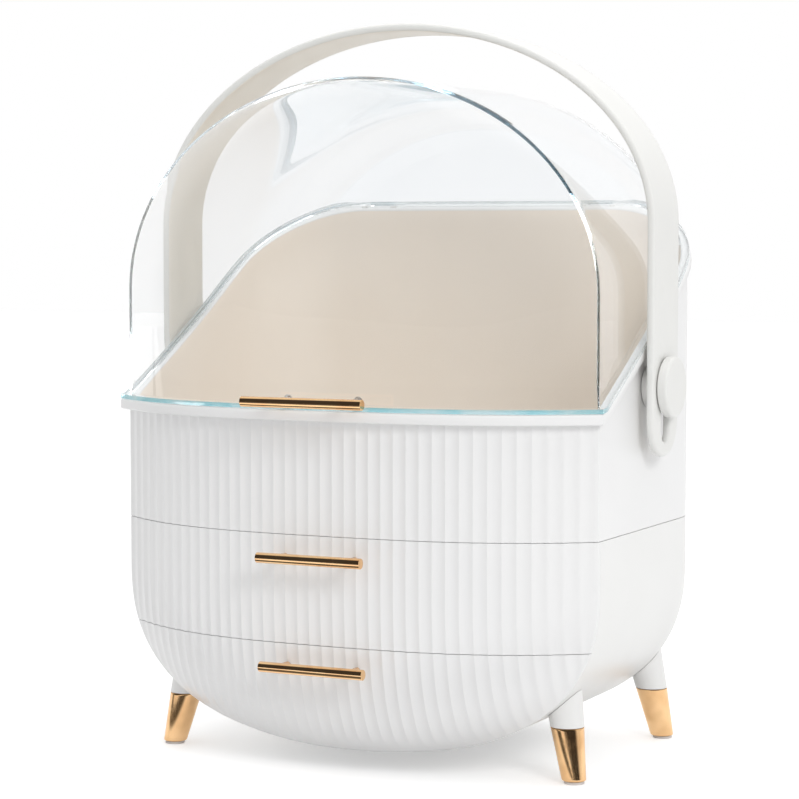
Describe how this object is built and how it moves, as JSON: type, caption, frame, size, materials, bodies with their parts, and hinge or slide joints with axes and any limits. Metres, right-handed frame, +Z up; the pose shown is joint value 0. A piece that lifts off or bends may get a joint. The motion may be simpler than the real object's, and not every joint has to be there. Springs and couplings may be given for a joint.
{
  "type": "makeup organizer",
  "caption": "Upright egg-shaped makeup organizer with a fluted front, pull-out drawers, an open compartment under a clear hinged lid, a folding carry handle and splayed metal feet.",
  "frame": {"origin": "on the floor, midway across the width and midway between the foremost pull and the rearmost hinge knuckle", "axes": "+Z up, front with the drawers towards -Y, +X to the right seen from the front"},
  "size_m": [0.3352, 0.2642, 0.43],
  "materials": {
    "white_plastic": "white, satin gloss",
    "drawer_plastic": "warm white, matt",
    "clear_acrylic": "clear, polished",
    "rose_gold": "polished rose gold plate",
    "steel": "zinc plated",
    "grey_rubber": "matt"
  },
  "bodies": {
    "case": {"drawer_housing": "white_plastic", "upper_compartment": "white_plastic", "side_stud_left": "white_plastic", "side_stud_right": "white_plastic", "pivot_cap_left": "white_plastic", "pivot_cap_right": "white_plastic", "leg_socket_front_left": "white_plastic", "leg_socket_front_right": "white_plastic", "leg_socket_rear_left": "white_plastic", "leg_socket_rear_right": "white_plastic", "drawer_shelf": "drawer_plastic", "leg_foot_front_left": "rose_gold", "leg_foot_front_right": "rose_gold", "leg_foot_rear_left": "rose_gold", "leg_foot_rear_right": "rose_gold", "hinge_pin_left": "steel", "hinge_pin_right": "steel", "leg_stud_front_left": "steel", "leg_stud_front_right": "steel", "leg_stud_rear_left": "steel", "leg_stud_rear_right": "steel", "foot_pad_front_left": "grey_rubber", "foot_pad_front_right": "grey_rubber", "foot_pad_rear_left": "grey_rubber", "foot_pad_rear_right": "grey_rubber"},
    "lid": {"lid": "clear_acrylic", "lid_pull": "rose_gold", "lid_screw_left": "steel", "lid_screw_right": "steel"},
    "upper_drawer": {"upper_drawer_front": "white_plastic", "upper_drawer_tray": "drawer_plastic", "upper_drawer_pull": "rose_gold", "upper_drawer_screw_left": "steel", "upper_drawer_screw_right": "steel"},
    "lower_drawer": {"lower_drawer_front": "white_plastic", "lower_drawer_tray": "drawer_plastic", "lower_drawer_pull": "rose_gold", "lower_drawer_screw_left": "steel", "lower_drawer_screw_right": "steel"},
    "pivot_blocks": {"slide_block_left": "drawer_plastic", "slide_block_right": "drawer_plastic"},
    "handle": {"carry_handle": "white_plastic"}
  },
  "joints": [
    {"name": "lid_hinge", "type": "hinge", "parent": "case", "child": "lid", "pos_m": [0, 0.1279, 0.322], "axis": [-1, 0, 0], "range_deg": [0, 70]},
    {"name": "handle_swing", "type": "hinge", "parent": "case", "child": "pivot_blocks", "pos_m": [0, 0.0109, 0.22], "axis": [-1, 0, 0], "range_deg": [0, 140]},
    {"name": "handle_lift", "type": "slide", "parent": "pivot_blocks", "child": "handle", "axis": [0, 0, 1], "range_m": [0, 0.024]},
    {"name": "upper_drawer_slide", "type": "slide", "parent": "case", "child": "upper_drawer", "axis": [0, -1, 0], "range_m": [0, 0.13]},
    {"name": "lower_drawer_slide", "type": "slide", "parent": "case", "child": "lower_drawer", "axis": [0, -1, 0], "range_m": [0, 0.13]}
  ],
  "couplings": [
    {"joint": "handle_swing", "follows": "lid_hinge", "ratio": 2},
    {"joint": "handle_lift", "follows": "lid_hinge", "m_per_rad": 0.01964}
  ]
}
